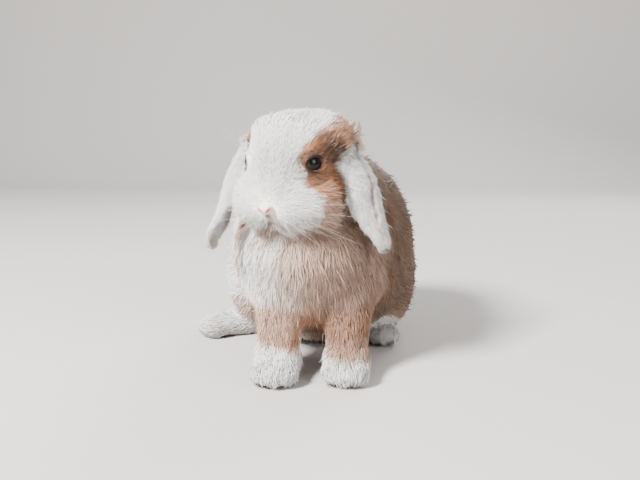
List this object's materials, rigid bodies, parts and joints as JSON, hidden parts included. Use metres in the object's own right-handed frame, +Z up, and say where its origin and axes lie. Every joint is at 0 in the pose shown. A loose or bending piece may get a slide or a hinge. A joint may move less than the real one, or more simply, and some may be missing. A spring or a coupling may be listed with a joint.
{
  "type": "lop rabbit",
  "caption": "Sitting lop rabbit, life size: rounded furred body, broad head turned to its right, long ears hanging beside the cheeks, forepaws set down in front.",
  "frame": {"origin": "middle of the animal's outline on the ground, level with the soles", "axes": "+Z up; the rabbit faces -Y and its own left side is towards +X; +Y runs to the tail"},
  "size_m": [0.2055, 0.2667, 0.211],
  "materials": {
    "coat_white": "soft dense white fur",
    "coat_cream": "soft dense cream fur",
    "coat_tan": "soft dense orange-tan fur",
    "coat_brown": "soft dense grey-brown fur",
    "eye_dark": "wet, glossy dark brown eye",
    "nose_pink": "bare pink skin, slightly moist"
  },
  "bodies": {
    "root": {"head": "coat_white", "nose": "nose_pink", "eye_left": "eye_dark", "eye_right": "eye_dark", "ear_left": "coat_white", "ear_right": "coat_white", "neck": "coat_cream", "trunk": "coat_brown", "tail": "coat_tan", "foreleg_left": "coat_tan", "foreleg_right": "coat_tan", "forepaw_left": "coat_white", "forepaw_right": "coat_white", "thigh_left": "coat_cream", "thigh_right": "coat_cream", "hindfoot_left": "coat_white", "hindfoot_right": "coat_white"}
  },
  "joints": []
}
